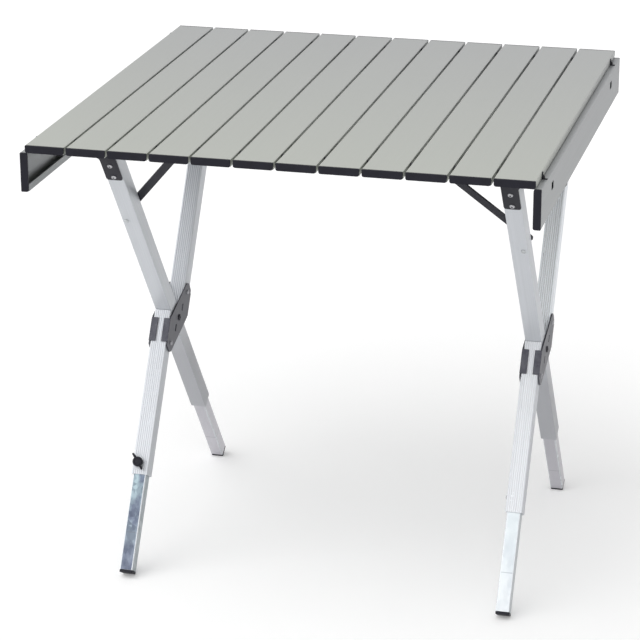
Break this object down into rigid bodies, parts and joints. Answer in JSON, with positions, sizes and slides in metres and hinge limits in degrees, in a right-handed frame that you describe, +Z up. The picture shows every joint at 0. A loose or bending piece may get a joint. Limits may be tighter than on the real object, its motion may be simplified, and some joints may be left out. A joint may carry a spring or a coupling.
{
  "type": "extendable camping table",
  "caption": "Roll-top camping table of aluminium slats on crossed telescopic legs, with a hanging slat at each end that lifts level with the top.",
  "frame": {"origin": "on the floor, under the middle of the slat top and its two hanging end slats", "axes": "+Z up, +X to the right along the rails, +Y from the front to the back along the slats"},
  "size_m": [0.7142, 0.6984, 0.6985],
  "materials": {
    "slat_aluminium": "fine brushed, satin",
    "leg_aluminium": "satin, ribbed on one side",
    "zinc_steel": "bright zinc plate",
    "black_steel": "semi-gloss black paint",
    "black_plastic": "moulded, matte",
    "elastic_cord": "braided elastic"
  },
  "bodies": {
    "rear_frame": {"rear_rail": "black_steel", "rear_rail_cap_left": "black_plastic", "rear_rail_cap_right": "black_plastic", "rear_bracket_left": "black_steel", "rear_bracket_right": "black_steel", "rear_brace_left": "black_steel", "rear_brace_right": "black_steel", "rear_upper_leg_left": "leg_aluminium", "rear_upper_leg_right": "leg_aluminium", "rear_lower_leg_left": "leg_aluminium", "rear_lower_leg_right": "leg_aluminium", "pivot_plate_left_inner": "black_steel", "pivot_plate_left_outer": "black_steel", "pivot_plate_right_inner": "black_steel", "pivot_plate_right_outer": "black_steel", "pivot_bolt_left": "black_steel", "pivot_bolt_right": "black_steel"},
    "front_frame": {"front_rail": "black_steel", "front_rail_cap_left": "black_plastic", "front_rail_cap_right": "black_plastic", "front_bracket_left": "black_steel", "front_bracket_right": "black_steel", "front_brace_left": "black_steel", "front_brace_right": "black_steel", "front_leg_left": "leg_aluminium", "front_leg_right": "leg_aluminium"},
    "tabletop": {"slat_01": "slat_aluminium", "slat_02": "slat_aluminium", "slat_03": "slat_aluminium", "slat_04": "slat_aluminium", "slat_05": "slat_aluminium", "slat_06": "slat_aluminium", "slat_07": "slat_aluminium", "slat_08": "slat_aluminium", "slat_09": "slat_aluminium", "slat_10": "slat_aluminium", "slat_11": "slat_aluminium", "slat_12": "slat_aluminium", "elastic_cord_front": "elastic_cord", "elastic_cord_rear": "elastic_cord", "rail_clip_front_left": "black_plastic", "rail_clip_front_right": "black_plastic", "rail_clip_rear_left": "black_plastic", "rail_clip_rear_right": "black_plastic"},
    "left_leaf": {"left_leaf": "slat_aluminium"},
    "right_leaf": {"right_leaf": "slat_aluminium"},
    "near_left_foot": {"near_left_leg": "zinc_steel", "near_left_foot_cap": "black_plastic"},
    "near_right_foot": {"near_right_leg": "zinc_steel", "near_right_foot_cap": "black_plastic"},
    "back_left_foot": {"back_left_leg": "zinc_steel", "back_left_foot_cap": "black_plastic"},
    "back_right_foot": {"back_right_leg": "zinc_steel", "back_right_foot_cap": "black_plastic"},
    "near_right_button": {"near_right_snap_button": "zinc_steel"},
    "back_left_button": {"back_left_snap_button": "zinc_steel"},
    "back_right_button": {"back_right_snap_button": "zinc_steel"},
    "clamp_knob": {"near_left_clamp_knob": "black_plastic"}
  },
  "joints": [
    {"name": "frame_fold", "type": "hinge", "parent": "rear_frame", "child": "front_frame", "pos_m": [0.0125, 0.019, 0.3277], "axis": [-1, 0, 0], "range_deg": [0, 60]},
    {"name": "tabletop_lift", "type": "slide", "parent": "rear_frame", "child": "tabletop", "axis": [0, 0, 1], "range_m": [0, 0.4]},
    {"name": "left_leaf_raise", "type": "hinge", "parent": "tabletop", "child": "left_leaf", "pos_m": [-0.3495, 0, 0.69095], "axis": [0, 1, 0], "range_deg": [0, 90]},
    {"name": "right_leaf_raise", "type": "hinge", "parent": "tabletop", "child": "right_leaf", "pos_m": [0.3495, 0, 0.69095], "axis": [0, -1, 0], "range_deg": [0, 90]},
    {"name": "near_left_foot_extend", "type": "slide", "parent": "rear_frame", "child": "near_left_foot", "axis": [0, -0.5293, -0.8484], "range_m": [0, 0.11]},
    {"name": "near_right_foot_extend", "type": "slide", "parent": "rear_frame", "child": "near_right_foot", "axis": [0, -0.5293, -0.8484], "range_m": [0, 0.11]},
    {"name": "back_left_foot_extend", "type": "slide", "parent": "front_frame", "child": "back_left_foot", "axis": [0, 0.5959, -0.803], "range_m": [0, 0.11]},
    {"name": "back_right_foot_extend", "type": "slide", "parent": "front_frame", "child": "back_right_foot", "axis": [0, 0.5959, -0.803], "range_m": [0, 0.11]},
    {"name": "near_right_button_press", "type": "slide", "parent": "rear_frame", "child": "near_right_button", "axis": [1, 0, 0], "range_m": [0, 0.003], "stiffness_N_per_m": 300, "springref_m": -0.002},
    {"name": "back_left_button_press", "type": "slide", "parent": "front_frame", "child": "back_left_button", "axis": [1, 0, 0], "range_m": [0, 0.003], "stiffness_N_per_m": 300, "springref_m": -0.002},
    {"name": "back_right_button_press", "type": "slide", "parent": "front_frame", "child": "back_right_button", "axis": [1, 0, 0], "range_m": [0, 0.003], "stiffness_N_per_m": 300, "springref_m": -0.002},
    {"name": "clamp_knob_turn", "type": "hinge", "parent": "rear_frame", "child": "clamp_knob", "pos_m": [-0.2735, -0.13843, 0.15188], "axis": [0, -0.8484, 0.5293], "range_deg": [-180, 180]}
  ],
  "couplings": [
    {"joint": "tabletop_lift", "follows": "frame_fold", "m_per_rad": 0.36}
  ]
}
